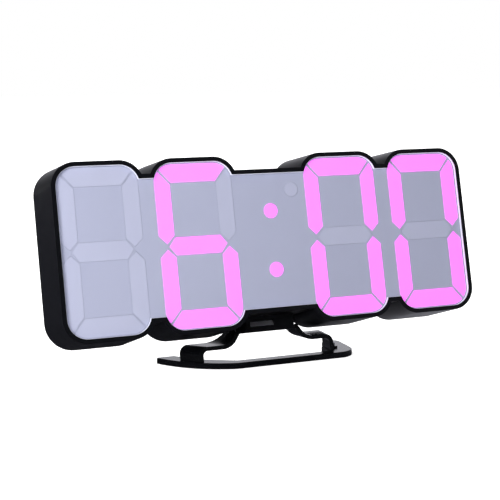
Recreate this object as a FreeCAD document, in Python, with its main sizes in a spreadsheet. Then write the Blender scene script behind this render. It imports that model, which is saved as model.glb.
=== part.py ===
import FreeCAD, Part
import math
import os
import Sketcher

Vector = FreeCAD.Vector
os.makedirs("parts", exist_ok=True)
doc = FreeCAD.newDocument("DigitalClock")

# Driving dimensions, in millimetres and degrees
SIZES = (
    # Digit cells and the case around them
    ("inner_digit_x", 38.7),
    ("digit_pitch", 46.7),
    ("lens_half_width", 20.0),
    ("lens_half_height", 39.8),
    ("lens_corner", 9.5),
    ("bridge_half_height", 32.8),
    ("case_wall", 2.1),
    ("case_flare", 2.0),
    ("case_depth", 31.5),
    # Layers behind the window
    ("lens_inset", 0.2),
    ("lens_thickness", 1.5),
    ("layer_gap", 0.1),
    ("face_thickness", 1.0),
    ("reflector_depth", 7.0),
    ("board_thickness", 1.6),
    ("layer_clearance", 0.15),
    # Seven-segment figure
    ("window_half_width", 11.4),
    ("window_half_height", 30.2),
    ("bar_half_height", 4.5),
    ("segment_outer_x", 19.6),
    ("segment_outer_y", 39.4),
    ("segment_gap", 0.9),
    ("segment_fit", 0.05),
    ("cell_wall", 0.8),
    ("dot_radius", 3.9),
    ("dot_upper_z", 14.4),
    ("dot_lower_z", -14.4),
    ("degree_radius", 3.7),
    ("degree_x", 11.8),
    ("degree_z", 24.4),
    # Lamps and chips on the board
    ("lamp_length", 3.5),
    ("lamp_width", 2.8),
    ("lamp_height", 0.9),
    ("chip_height", 1.4),
    ("controller_size", 10.0),
    ("driver_length", 13.0),
    ("driver_width", 7.5),
    # Screws
    ("screw_radius", 1.0),
    ("screw_head_radius", 1.9),
    ("screw_head_height", 1.2),
    ("screw_length", 7.0),
    ("screw_hole_gap", 0.15),
    ("boss_radius", 3.2),
    ("case_screw_z", 22.0),
    # Rear cover
    ("cover_thickness", 2.0),
    ("cover_inset", 1.0),
    ("cover_gap", 0.15),
    ("keyhole_x", 60.0),
    ("keyhole_z", 15.0),
    ("keyhole_radius", 4.0),
    ("keyhole_slot_radius", 2.0),
    ("keyhole_slot_rise", 7.0),
    ("vent_slot_width", 1.2),
    ("vent_slot_length", 16.0),
    ("vent_pitch", 3.0),
    # Push buttons
    ("button_radius", 3.0),
    ("button_proud", 0.9),
    ("button_travel", 0.8),
    ("button_pitch", 12.0),
    ("button_x", 62.0),
    ("button_z", -14.0),
    ("button_gap", 0.08),
    ("button_flange", 1.2),
    ("button_flange_thickness", 1.0),
    ("switch_size", 6.0),
    ("switch_height", 3.5),
    # Coin cell and its door
    ("cell_radius", 10.0),
    ("cell_thickness", 3.2),
    ("cell_x", -62.0),
    ("cell_z", -14.0),
    ("pocket_wall", 1.2),
    ("pocket_gap", 0.5),
    ("door_radius", 12.6),
    ("door_gap", 0.08),
    ("door_tab_reach", 1.5),
    ("door_tab_width", 5.0),
    ("door_tab_thickness", 1.0),
    ("door_tab_play", 0.1),
    ("door_turn", 60.0),
    ("coin_slot_width", 1.8),
    ("coin_slot_depth", 0.8),
    # Power inlet
    ("inlet_width", 9.0),
    ("inlet_height", 7.0),
    ("inlet_depth", 11.0),
    ("inlet_flange", 1.5),
    ("inlet_bore", 1.75),
    ("inlet_z", 8.0),
    # Stand
    ("lean_angle", 15.3),
    ("centre_height", 62.75),
    ("segment_plane", 1.8),
    ("socket_half_width", 16.6),
    ("socket_nose_half_width", 12.9),
    ("socket_bottom", 43.6),
    ("heel_bottom", 39.6),
    ("socket_front", 17.3),
    ("socket_step", 24.3),
    ("tab_x", 14.4),
    ("tab_front", 25.3),
    ("tab_back", 30.7),
    ("tab_top", 36.9),
    ("shoulder_drop", 41.3),
    ("tab_gap", 0.1),
    # Stand legs: where each strip's front edge and back edge run
    ("leg_thickness", 2.1),
    ("leg_rise_angle", 55.0),
    ("leg_foot_bend", 3.4),
    ("left_front", 25.3),
    ("left_depth", 7.7),
    ("left_rise_x", 23.0),
    ("left_rise_bend", 8.0),
    ("left_back_rise_x", 30.4),
    ("left_back_rise_bend", 18.0),
    ("left_run_drop", 49.5),
    ("left_foot_x", 34.5),
    ("left_splay", 7.7),
    ("right_front", 21.8),
    ("right_depth", 8.9),
    ("right_rise_x", 24.6),
    ("right_rise_bend", 8.0),
    ("right_back_rise_x", 21.6),
    ("right_back_rise_bend", 8.0),
    ("right_run_drop", 48.9),
    ("right_foot_x", 34.6),
    ("right_splay", 0.0),
    ("foot_length", 4.7),
    ("foot_width", 5.6),
    ("foot_thickness", 1.0),
    ("foot_screw_reach", 2.9),
    ("right_foot_shift", 2.0),
    ("foot_screw_head_radius", 1.6),
    ("foot_screw_head_height", 1.5),
    # Stand base, measured back from the line under the segments
    ("base_thickness", 3.0),
    ("base_front", -0.8),
    ("base_bar_back", 4.6),
    ("base_right_x", 46.6),
    ("base_right_back", 24.3),
    ("base_right_inner_x", 36.4),
    ("base_right_waist_x", 32.6),
    ("base_right_waist", 13.4),
    ("base_right_shoulder", 18.4),
    ("base_left_vertex_x", 19.0),
    ("base_left_inner_x", 17.3),
    ("base_left_waist_x", 31.8),
    ("base_left_waist", 12.1),
    ("base_left_tip_inner_x", 43.8),
    ("base_left_tip_x", 53.6),
    ("base_left_tip", 24.6),
    ("base_left_bow", 52.0),
    ("base_corner", 9.0),
    ("base_right_tip_corner", 4.6),
    ("base_inner_corner", 3.0),
    ("base_tip_corner", 1.0),
    ("base_bevel", 0.4),
)

sheet = doc.addObject("Spreadsheet::Sheet", "Sizes")
for row, (alias, value) in enumerate(SIZES, start=1):
    sheet.set(f"A{row}", alias)
    sheet.set(f"B{row}", str(value))
    sheet.setAlias(f"B{row}", alias)
doc.recompute()


def size(alias):
    return float(getattr(sheet, alias))


# Places that several pieces share, written as formulas on the sheet
INNER = "Sizes.inner_digit_x"
OUTER = "(Sizes.inner_digit_x + Sizes.digit_pitch)"
CELLS = ((1, f"-{OUTER}"), (2, f"-{INNER}"), (3, INNER), (4, OUTER))
LENS_FRONT = "Sizes.lens_inset"
FACE_FRONT = "(Sizes.lens_inset + Sizes.lens_thickness + Sizes.layer_gap)"
REFLECTOR_FRONT = f"({FACE_FRONT} + Sizes.face_thickness)"
BOARD_FRONT = f"({REFLECTOR_FRONT} + Sizes.reflector_depth)"
BOARD_BACK = f"({BOARD_FRONT} + Sizes.board_thickness)"
COVER_BACK = "(Sizes.case_depth - Sizes.cover_inset)"
COVER_FRONT = f"({COVER_BACK} - Sizes.cover_thickness)"
FLARE_ANGLE = "atan(Sizes.case_flare / Sizes.case_depth)"

# The clock stands on its base with the middle of its outline over the origin, leaning back
LEAN = (
    "placement(vector(0; -(Sizes.case_flare * sin(Sizes.lean_angle)"
    " + Sizes.case_depth * cos(Sizes.lean_angle)) / 2; Sizes.centre_height"
    " + Sizes.segment_plane * sin(Sizes.lean_angle));"
    " rotation(vector(1; 0; 0); -Sizes.lean_angle))"
)


def number(formula):
    """The present value of a formula on the sheet."""
    return float(sheet.evalExpression(formula))


def named(obj, label):
    obj.Label = label
    return obj


def bind(obj, **formulas):
    for path, formula in formulas.items():
        obj.setExpression(path.replace("__", "."), str(formula))
    return obj


def box(name, wide, deep, tall, x="0", y="0", z="0"):
    """A block centred on x and z, with its front face at depth y."""
    block = doc.addObject("Part::Box", name)
    bind(block, Length=wide, Width=deep, Height=tall)
    bind(
        block,
        Placement__Base__x=f"{x} - ({wide}) / 2",
        Placement__Base__y=y,
        Placement__Base__z=f"{z} - ({tall}) / 2",
    )
    return block


def rod(name, radius, length, x="0", y="0", z="0"):
    """A round bar along the depth, with its front end at depth y."""
    bar = doc.addObject("Part::Cylinder", name)
    bar.Placement = FreeCAD.Placement(Vector(), FreeCAD.Rotation(Vector(1, 0, 0), -90))
    bind(bar, Radius=radius, Height=length)
    bind(bar, Placement__Base__x=x, Placement__Base__y=y, Placement__Base__z=z)
    return bar


def fuse(name, shapes):
    joined = doc.addObject("Part::MultiFuse", name)
    joined.Shapes = list(shapes)
    return joined


def cut(name, base, tools):
    tools = list(tools)
    tool = tools[0] if len(tools) == 1 else fuse(f"{name}Tools", tools)
    result = doc.addObject("Part::Cut", name)
    result.Base = base
    result.Tool = tool
    return result


def group(name, shapes):
    """Separate like pieces kept together in one node."""
    compound = doc.addObject("Part::Compound", name)
    compound.Links = list(shapes)
    return compound


def rounded_sketch(name, wide, tall, corner, x, z="0"):
    """A constrained round-cornered rectangle standing upright, facing forwards."""
    sketch = doc.addObject("Sketcher::SketchObject", name)
    w, t, r = number(wide), number(tall), number(corner)
    x0, z0 = number(x) - w / 2, number(z) - t / 2
    x1, z1 = x0 + w, z0 + t
    ends = (
        (x0 + r, z0, x1 - r, z0, x1 - r, z0 + r, -90),
        (x1, z0 + r, x1, z1 - r, x1 - r, z1 - r, 0),
        (x1 - r, z1, x0 + r, z1, x0 + r, z1 - r, 90),
        (x0, z1 - r, x0, z0 + r, x0 + r, z0 + r, 180),
    )
    sides, bends = [], []
    for ax, az, bx, bz, cx, cz, start in ends:
        sides.append(sketch.addGeometry(Part.LineSegment(Vector(ax, az, 0), Vector(bx, bz, 0))))
        circle = Part.Circle(Vector(cx, cz, 0), Vector(0, 0, 1), r)
        arc = Part.ArcOfCircle(circle, math.radians(start), math.radians(start + 90))
        bends.append(sketch.addGeometry(arc))
    for i in range(4):
        sketch.addConstraint(Sketcher.Constraint("Tangent", sides[i], 2, bends[i], 1))
        sketch.addConstraint(Sketcher.Constraint("Tangent", bends[i], 2, sides[(i + 1) % 4], 1))
        if i:
            sketch.addConstraint(Sketcher.Constraint("Equal", bends[0], bends[i]))
    for i, rule in enumerate(("Horizontal", "Vertical", "Horizontal", "Vertical")):
        sketch.addConstraint(Sketcher.Constraint(rule, sides[i]))
    bottom, right, top, left = sides
    rules = (
        ("wide", ("DistanceX", left, 1, right, 1, w), wide),
        ("tall", ("DistanceY", bottom, 1, top, 1, t), tall),
        ("corner", ("Radius", bends[0], r), corner),
        ("left", ("DistanceX", -1, 1, left, 1, x0), f"{x} - ({wide}) / 2"),
        ("low", ("DistanceY", -1, 1, bottom, 1, z0), f"{z} - ({tall}) / 2"),
    )
    for title, rule, formula in rules:
        sketch.renameConstraint(sketch.addConstraint(Sketcher.Constraint(*rule)), title)
        sketch.setExpression(f"Constraints.{title}", formula)
    sketch.Placement = FreeCAD.Placement(Vector(), FreeCAD.Rotation(Vector(1, 0, 0), 90))
    return sketch


def slab(name, sketch, front, depth, flare=None):
    """An upright sketch drawn out backwards from a depth, flaring if asked."""
    solid = doc.addObject("Part::Extrusion", name)
    solid.Base = sketch
    solid.DirMode = "Normal"
    solid.Solid = True
    solid.LengthFwd = 0
    bind(solid, LengthRev=depth, Placement__Base__y=front)
    if flare:
        bind(solid, TaperAngleRev=flare)
    return solid


def clock_outline(name, grow, front, depth, flare=None):
    """The whole clock's outline: four digit cells joined by a lower bridge.

    grow is measured outwards from the window's own edge.
    """
    wide = f"2 * (Sizes.lens_half_width + {grow})"
    tall = f"2 * (Sizes.lens_half_height + {grow})"
    corner = f"Sizes.lens_corner + {grow}"
    slabs = []
    for digit, x in CELLS:
        sketch = rounded_sketch(f"{name}Cell{digit}Sketch", wide, tall, corner, x)
        slabs.append(slab(f"{name}Cell{digit}", sketch, front, depth, flare))
    span = f"2 * {OUTER}"
    bridge_tall = f"2 * (Sizes.bridge_half_height + {grow})"
    sketch = rounded_sketch(f"{name}BridgeSketch", span, bridge_tall, "Sizes.case_wall", "0")
    slabs.append(slab(f"{name}Bridge", sketch, front, depth, flare))
    return fuse(f"{name}Outline", slabs)


def screw(name, x, z, head_depth, length):
    """A pan-head screw driven forwards, with its head's front face at a depth."""
    head = rod(f"{name}Head", "Sizes.screw_head_radius", "Sizes.screw_head_height", x, head_depth, z)
    shank = rod(f"{name}Shank", "Sizes.screw_radius", length, x, f"{head_depth} - ({length})", z)
    recess = box(f"{name}SlotA", "0.5 * Sizes.screw_head_radius * 2", "Sizes.screw_head_height", "0.5",
                 x, f"{head_depth} + Sizes.screw_head_height / 2", z)
    cross = box(f"{name}SlotB", "0.5", "Sizes.screw_head_height", "0.5 * Sizes.screw_head_radius * 2",
                x, f"{head_depth} + Sizes.screw_head_height / 2", z)
    return cut(name, fuse(f"{name}Body", (head, shank)), (recess, cross))


pieces = []


def keep(obj, node, placement=LEAN):
    """Name a finished piece and set it in the leaning clock, or upright on the floor."""
    named(obj, node)
    if placement:
        obj.setExpression("Placement", placement)
    pieces.append(obj)
    return obj


# Case: one deep moulded shell whose wall flares a little towards the back
case_outer = clock_outline("CaseOuter", "Sizes.case_wall", "0", "Sizes.case_depth", FLARE_ANGLE)
case_inner = clock_outline("CaseInner", "0", "0", "Sizes.case_depth", FLARE_ANGLE)
case_tube = cut("CaseTube", case_outer, [case_inner])

boss_x = f"{OUTER} + Sizes.lens_half_width - Sizes.boss_radius + 1"
CASE_SCREWS = []
for side, sign in (("Left", "-"), ("Right", "")):
    for end, lift in (("Low", "-"), ("High", "")):
        CASE_SCREWS.append((f"{side}{end}", f"{sign}({boss_x})", f"{lift}Sizes.case_screw_z"))
boss_front = BOARD_BACK
boss_depth = f"({COVER_FRONT} - {boss_front})"
bosses, boss_bores = [], []
for title, x, z in CASE_SCREWS:
    bosses.append(rod(f"Boss{title}", "Sizes.boss_radius", boss_depth, x, boss_front, z))
    bore_front = f"{COVER_FRONT} - Sizes.screw_length"
    bore = rod(f"BossBore{title}", "Sizes.screw_radius", "Sizes.screw_length", x, bore_front, z)
    boss_bores.append(bore)
boss_limit = clock_outline("BossLimit", "Sizes.case_wall / 2", "0", "Sizes.case_depth", FLARE_ANGLE)
boss_common = doc.addObject("Part::MultiCommon", "BossesInside")
boss_common.Shapes = [fuse("Bosses", bosses), boss_limit]
case_body = cut("CaseShell", fuse("CaseWithBosses", (case_tube, boss_common)), boss_bores)
keep(case_body, "front_case")

# Window: one clear panel bonded inside the rim, its face just below the rim
lens = clock_outline("Lens", "0", LENS_FRONT, "Sizes.lens_thickness")
keep(lens, "front_lens")


# Seven-segment figure: each segment is a polygon with bevelled ends
def segment_points(letter):
    wx, wz = size("window_half_width"), size("window_half_height")
    gz, ox, oz = size("bar_half_height"), size("segment_outer_x"), size("segment_outer_y")
    half_gap = size("segment_gap") / 2
    mid = (wx + ox) / 2
    tip = half_gap * math.sqrt(2)
    flat = gz + tip
    reach = mid - wx
    shapes = {
        "A": ((-wx, wz), (wx, wz), (ox - tip, oz), (-ox + tip, oz)),
        "D": ((-wx, -wz), (-ox + tip, -oz), (ox - tip, -oz), (wx, -wz)),
        "G": ((-wx, gz), (-mid + tip, 0), (-wx, -gz), (wx, -gz), (mid - tip, 0), (wx, gz)),
        "F": ((-wx, wz - tip), (-ox, oz - tip), (-ox, flat), (-mid, flat - reach), (-wx, flat)),
        "B": ((wx, wz - tip), (wx, flat), (mid, flat - reach), (ox, flat), (ox, oz - tip)),
    }
    if letter == "E":
        return [(x, -z) for x, z in reversed(shapes["F"])]
    if letter == "C":
        return [(x, -z) for x, z in reversed(shapes["B"])]
    return list(shapes[letter])


def segment_solid(letter, shrink, front, depth, x):
    """One segment as a solid, shrunk evenly, with the cell's round outer corners."""
    points = [Vector(px + x, 0, pz) for px, pz in segment_points(letter)]
    wire = Part.makePolygon(points + points[:1])
    face = Part.Face(wire)
    if abs(shrink) > 1e-6:
        face = face.makeOffset2D(-shrink, join=2)
    solid = face.extrude(Vector(0, depth, 0))
    solid.translate(Vector(0, front, 0))
    margin = size("lens_half_width") - size("segment_outer_x") + shrink
    half_w = size("lens_half_width") - margin
    half_h = size("segment_outer_y") - shrink
    corner = size("lens_corner") - margin
    limit = Part.makeBox(2 * half_w, depth, 2 * half_h, Vector(x - half_w, front, -half_h))
    edges = [e for e in limit.Edges if abs(abs(e.tangentAt(e.FirstParameter).y) - 1) < 1e-6]
    return solid.common(limit.makeFillet(corner, edges)).Solids[0]


def feature(name, shape):
    obj = doc.addObject("Part::Feature", name)
    obj.Shape = shape
    return obj


FACE_Y = number(FACE_FRONT)
FACE_T = size("face_thickness")
LETTERS = "ABCDEFG"
DOTS = (("Upper", "0", "Sizes.dot_upper_z"), ("Lower", "0", "Sizes.dot_lower_z"))

# Face: a pale lavender-grey panel with an opening for every segment and dot
face_openings = []
for digit, x in CELLS:
    for letter in LETTERS:
        solid = segment_solid(letter, -size("segment_fit"), FACE_Y, FACE_T, number(x))
        face_openings.append(feature(f"FaceOpening{digit}{letter}", solid))
for title, x, z in DOTS:
    radius = "Sizes.dot_radius + Sizes.segment_fit"
    face_openings.append(rod(f"FaceDot{title}", radius, "Sizes.face_thickness", x, FACE_FRONT, z))
face_openings.append(rod("FaceDegree", "Sizes.degree_radius + Sizes.segment_fit", "Sizes.face_thickness",
                         "Sizes.degree_x", FACE_FRONT, "Sizes.degree_z"))
face_blank = clock_outline("Face", "(-Sizes.layer_clearance)", FACE_FRONT, "Sizes.face_thickness")
keep(cut("FacePanel", face_blank, face_openings), "face_panel")

# Segment diffusers: milky inserts that fill the face's openings
LIT = {1: "", 2: "ACDEFG", 3: "ABCDEF", 4: "ABCDEF"}
for digit, x in CELLS:
    for state, letters in (("lit", LIT[digit]), ("dark", "".join(c for c in LETTERS if c not in LIT[digit]))):
        solids = [segment_solid(c, 0, FACE_Y, FACE_T, number(x)) for c in letters]
        if solids:
            shape = Part.makeCompound(solids)
            keep(feature(f"Digit{digit}{state.title()}", shape), f"digit_{digit}_{state}_segments")
colon = [rod(f"Dot{t}", "Sizes.dot_radius", "Sizes.face_thickness", x, FACE_FRONT, z) for t, x, z in DOTS]
keep(group("ColonDots", colon), "colon_dots")
degree = rod("DegreeDot", "Sizes.degree_radius", "Sizes.face_thickness", "Sizes.degree_x", FACE_FRONT,
             "Sizes.degree_z")
keep(group("DegreeGroup", [degree]), "degree_dot")

# Reflectors: one white light box per digit, a cavity behind each segment, two screw bores
BOARD_SCREW_Z = "((Sizes.window_half_height + Sizes.bar_half_height) / 2)"
for digit, x in CELLS:
    grow = "-Sizes.layer_clearance"
    sketch = rounded_sketch(f"Reflector{digit}Sketch", f"2 * (Sizes.lens_half_width {grow})",
                            f"2 * (Sizes.lens_half_height {grow})", f"Sizes.lens_corner {grow}", x)
    block = slab(f"Reflector{digit}Block", sketch, REFLECTOR_FRONT, "Sizes.reflector_depth")
    cavities = [
        feature(f"Cavity{digit}{c}", segment_solid(c, size("cell_wall"), number(REFLECTOR_FRONT),
                                                   size("reflector_depth"), number(x)))
        for c in LETTERS
    ]
    bores = [
        rod(f"ReflectorBore{digit}{i}", "Sizes.screw_radius", "Sizes.reflector_depth - 1.5", x,
            f"{REFLECTOR_FRONT} + 1.5", f"{sign}{BOARD_SCREW_Z}")
        for i, sign in enumerate(("", "-"))
    ]
    hollow_height = "(Sizes.window_half_height - Sizes.bar_half_height - 2 * Sizes.cell_wall)"
    hollows = [
        box(f"Hollow{digit}{i}", "2 * (Sizes.window_half_width - Sizes.cell_wall)",
            "Sizes.reflector_depth - 1.2", hollow_height, x, f"{REFLECTOR_FRONT} + 1.2",
            f"{sign}{BOARD_SCREW_Z}")
        for i, sign in enumerate(("", "-"))
    ]
    posts = [
        rod(f"ReflectorPost{digit}{i}", "Sizes.boss_radius", "Sizes.reflector_depth", x, REFLECTOR_FRONT,
            f"{sign}{BOARD_SCREW_Z}")
        for i, sign in enumerate(("", "-"))
    ]
    box_frame = fuse(f"Reflector{digit}Frame", [cut(f"Reflector{digit}Shell", block, hollows)] + posts)
    keep(cut(f"Reflector{digit}", box_frame, cavities + bores), f"digit_{digit}_reflector")
colon_half = "(Sizes.inner_digit_x - Sizes.lens_half_width - Sizes.layer_clearance)"
COLON_DOTS = DOTS + (("Degree", "Sizes.degree_x", "Sizes.degree_z"),)
colon_tall = "(Sizes.bridge_half_height - 2.6)"
colon_outer = box("ColonOuter", f"2 * {colon_half}", "Sizes.reflector_depth", f"2 * {colon_tall}",
                  "0", REFLECTOR_FRONT, "0")
colon_hollow = box("ColonHollow", f"2 * ({colon_half} - 1.2)", "Sizes.reflector_depth - 1.2",
                   f"2 * ({colon_tall} - 1.2)", "0", f"{REFLECTOR_FRONT} + 1.2", "0")
colon_tubes = [
    rod(f"ColonTube{t}", "Sizes.dot_radius + 1", "Sizes.reflector_depth", x, REFLECTOR_FRONT, z)
    for t, x, z in COLON_DOTS
]
colon_block = fuse("ColonBlock", [cut("ColonShell", colon_outer, [colon_hollow])] + colon_tubes)
colon_holes = [
    rod(f"ColonHole{t}", "Sizes.dot_radius", "Sizes.reflector_depth", x, REFLECTOR_FRONT, z)
    for t, x, z in COLON_DOTS
]
keep(cut("ColonReflector", colon_block, colon_holes), "colon_reflector")

# Main board behind the reflectors, held by two screws into each reflector
board_blank = clock_outline("Board", "(-0.6)", BOARD_FRONT, "Sizes.board_thickness")
BOARD_SCREWS = [
    (f"{digit}{i}", x, f"{sign}{BOARD_SCREW_Z}") for digit, x in CELLS for i, sign in enumerate(("", "-"))
]
board_holes = [
    rod(f"BoardHole{t}", "Sizes.screw_radius + Sizes.screw_hole_gap", "Sizes.board_thickness", x, BOARD_FRONT, z)
    for t, x, z in BOARD_SCREWS
]
keep(cut("Board", board_blank, board_holes), "main_board")
board_screw_length = "(Sizes.board_thickness + Sizes.reflector_depth - 2)"
keep(group("BoardScrews", [screw(f"BoardScrew{t}", x, z, BOARD_BACK, board_screw_length)
                           for t, x, z in BOARD_SCREWS]), "board_screws")

# Lamps: two small white lamps in each cavity and one behind each dot
segment_mid_x = "((Sizes.window_half_width + Sizes.segment_outer_x) / 2)"
segment_mid_z = "((Sizes.window_half_height + Sizes.segment_outer_y) / 2)"
upper_mid_z = "(Sizes.window_half_height / 2 + 2)"
lamp_front = f"{BOARD_FRONT} - Sizes.lamp_height"
lamps = []
for digit, x in CELLS:
    spots = [(f"{x} {s} Sizes.window_half_width / 2", f"{z}") for s in "+-"
             for z in (segment_mid_z, f"-{segment_mid_z}", "0")]
    spots += [(f"{x} {s} {segment_mid_x}", f"{t}({upper_mid_z} {u} 6)") for s in "+-"
              for t in ("", "-") for u in "+-"]
    for i, (lx, lz) in enumerate(spots):
        lamps.append(box(f"Lamp{digit}_{i}", "Sizes.lamp_width", "Sizes.lamp_height", "Sizes.lamp_length",
                         lx, lamp_front, lz))
for t, x, z in COLON_DOTS:
    lamps.append(box(f"Lamp{t}", "Sizes.lamp_width", "Sizes.lamp_height", "Sizes.lamp_length", x, lamp_front, z))
keep(group("Lamps", lamps), "segment_lamps")

# Chips and small parts on the back of the board
controller = box("Controller", "Sizes.controller_size", "Sizes.chip_height", "Sizes.controller_size",
                 "-10", BOARD_BACK, "16")
keep(controller, "microcontroller", LEAN + " * placement(vector(-10 - Sizes.controller_size / 2; "
     + BOARD_BACK + "; 16 - Sizes.controller_size / 2); rotation(vector(0; 0; 1); 0))")
drivers = [
    box(f"Driver{i}", "Sizes.driver_length", "Sizes.chip_height", "Sizes.driver_width", x, BOARD_BACK, "2")
    for i, x in enumerate(("-38", "38"))
]
keep(group("Drivers", drivers), "lamp_drivers")
crystal = fuse("CrystalCan", (
    rod("CrystalEndA", "1.6", "3.4", "-24", BOARD_BACK, "12"),
    rod("CrystalEndB", "1.6", "3.4", "-24", BOARD_BACK, "18"),
    box("CrystalMiddle", "3.2", "3.4", "6", "-24", BOARD_BACK, "15"),
))
keep(crystal, "clock_crystal")
capacitors = [rod(f"Capacitor{i}", "3.1", "8", x, BOARD_BACK, "14") for i, x in enumerate(("14", "24"))]
keep(group("Capacitors", capacitors), "power_capacitors")
buzzer_body = rod("BuzzerBody", "6", "7.5", "0", BOARD_BACK, "-14")
buzzer_port = rod("BuzzerPort", "1", "2", "0", f"{BOARD_BACK} + 5.5", "-14")
keep(cut("Buzzer", buzzer_body, [buzzer_port]), "alarm_buzzer")
sensor = fuse("Sensor", (
    rod("SensorBead", "1.4", "2.4", "-104 + 2 * Sizes.case_wall", f"{BOARD_BACK}", "0"),
    box("SensorLeg", "0.6", "1.2", "4", "-104 + 2 * Sizes.case_wall", f"{BOARD_BACK}", "-2"),
))
keep(sensor, "temperature_sensor")

# Rear cover: a flat moulding inside the flared back edge, with keyholes, vents and the wells
cover_blank = clock_outline("CoverBlank", "(-Sizes.cover_gap)", "0", "Sizes.case_depth", FLARE_ANGLE)
cover_slice = box("CoverSlice", "4 * Sizes.digit_pitch + 4 * Sizes.lens_half_width", "Sizes.cover_thickness",
                  "4 * Sizes.lens_half_height", "0", COVER_FRONT, "0")
cover_plate = doc.addObject("Part::MultiCommon", "CoverPlate")
cover_plate.Shapes = [cover_blank, cover_slice]
cover_cuts = []
for title, x, z in CASE_SCREWS:
    cover_cuts.append(rod(f"CoverHole{title}", "Sizes.screw_radius + Sizes.screw_hole_gap",
                          "Sizes.cover_thickness", x, COVER_FRONT, z))
    cover_cuts.append(rod(f"CoverSink{title}", "Sizes.screw_head_radius + Sizes.screw_hole_gap",
                          "Sizes.screw_head_height", x, f"{COVER_BACK} - Sizes.screw_head_height", z))
for side, sign in (("Left", "-"), ("Right", "")):
    x = f"{sign}Sizes.keyhole_x"
    cover_cuts.append(rod(f"KeyholeRound{side}", "Sizes.keyhole_radius", "Sizes.cover_thickness", x,
                          COVER_FRONT, "Sizes.keyhole_z"))
    cover_cuts.append(rod(f"KeyholeTop{side}", "Sizes.keyhole_slot_radius", "Sizes.cover_thickness", x,
                          COVER_FRONT, "Sizes.keyhole_z + Sizes.keyhole_slot_rise"))
    cover_cuts.append(box(f"KeyholeSlot{side}", "2 * Sizes.keyhole_slot_radius", "Sizes.cover_thickness",
                          "Sizes.keyhole_slot_rise", x, COVER_FRONT,
                          "Sizes.keyhole_z + Sizes.keyhole_slot_rise / 2"))
for i in range(5):
    cover_cuts.append(box(f"Vent{i}", "Sizes.vent_slot_length", "Sizes.cover_thickness",
                          "Sizes.vent_slot_width", "0", COVER_FRONT, f"-8 - {i} * Sizes.vent_pitch"))

# Push buttons: bores through the cover, three in a row
BUTTONS = (("set_button", "-"), ("up_button", "0 *"), ("down_button", ""))


def button_place(sign):
    if sign == "0 *":
        return "Sizes.button_x"
    return f"(Sizes.button_x {sign or '+'} Sizes.button_pitch)"


for node, sign in BUTTONS:
    cover_cuts.append(rod(f"{node}Bore", "Sizes.button_radius + Sizes.button_gap", "Sizes.cover_thickness",
                          button_place(sign), COVER_FRONT, "Sizes.button_z"))

# Coin cell well: a cup behind the cover, stepped wider where the door's tabs turn
cover_cuts.append(rod("DoorBore", "Sizes.door_radius + Sizes.door_gap", "Sizes.cover_thickness",
                      "Sizes.cell_x", COVER_FRONT, "Sizes.cell_z"))
TAB_RADIUS = "(Sizes.door_radius + Sizes.door_tab_reach)"
notch = box("DoorNotchBlank", f"2 * ({TAB_RADIUS} + 0.3)", "Sizes.cover_thickness",
            "Sizes.door_tab_width + 0.8", "0", COVER_FRONT, "0")
notch_round = rod("DoorNotchRound", f"{TAB_RADIUS} + 0.3", "Sizes.cover_thickness", "0", COVER_FRONT, "0")
door_notch = doc.addObject("Part::MultiCommon", "DoorNotch")
door_notch.Shapes = [notch, notch_round]
door_notch.setExpression("Placement", "placement(vector(Sizes.cell_x; 0; Sizes.cell_z);"
                         " rotation(vector(0; 1; 0); Sizes.door_turn))")
cover_cuts.append(door_notch)
tab_level = "(Sizes.door_tab_thickness + 2 * Sizes.door_tab_play)"
cell_level = "(Sizes.cell_thickness + 0.7)"
step_front = f"({COVER_FRONT} - {tab_level})"
well_front = f"({step_front} - {cell_level} - Sizes.pocket_wall)"
well_outer = fuse("WellOuter", (
    rod("WellCup", "Sizes.cell_radius + Sizes.pocket_gap + Sizes.pocket_wall",
        f"{COVER_FRONT} - {well_front}", "Sizes.cell_x", well_front, "Sizes.cell_z"),
    rod("WellRim", f"{TAB_RADIUS} + Sizes.pocket_gap + Sizes.pocket_wall",
        f"{tab_level} + Sizes.pocket_wall", "Sizes.cell_x", f"{step_front} - Sizes.pocket_wall",
        "Sizes.cell_z"),
))
well_spaces = [
    rod("WellCell", "Sizes.cell_radius + Sizes.pocket_gap", cell_level, "Sizes.cell_x",
        f"{well_front} + Sizes.pocket_wall", "Sizes.cell_z"),
    rod("WellTabs", f"{TAB_RADIUS} + Sizes.pocket_gap", tab_level, "Sizes.cell_x", step_front,
        "Sizes.cell_z"),
]

# Power inlet: a socket on the back of the board that reaches the cover
inlet_front = f"({COVER_BACK} - Sizes.inlet_depth)"
cover_cuts.append(box("InletWindow", "Sizes.inlet_width", "Sizes.cover_thickness", "Sizes.inlet_height",
                      "0", COVER_FRONT, "Sizes.inlet_z"))
keep(fuse("CoverSolid", [cut("CoverCut", cover_plate, cover_cuts), cut("Well", well_outer, well_spaces)]),
     "rear_cover")
inlet_block = box("InletBlock", "Sizes.inlet_width", "Sizes.inlet_depth", "Sizes.inlet_height", "0",
                  inlet_front, "Sizes.inlet_z")
inlet_flange = box("InletFlange", "Sizes.inlet_width + 2 * Sizes.inlet_flange", "1",
                   "Sizes.inlet_height + 2 * Sizes.inlet_flange", "0", f"{COVER_FRONT} - 1", "Sizes.inlet_z")
inlet_body = fuse("InletBody", (inlet_block, inlet_flange))
inlet_hole = rod("InletHole", "Sizes.inlet_bore", "Sizes.inlet_depth - 2", "0", f"{inlet_front} + 2",
                 "Sizes.inlet_z")
keep(cut("Inlet", inlet_body, [inlet_hole]), "power_inlet")

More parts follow.
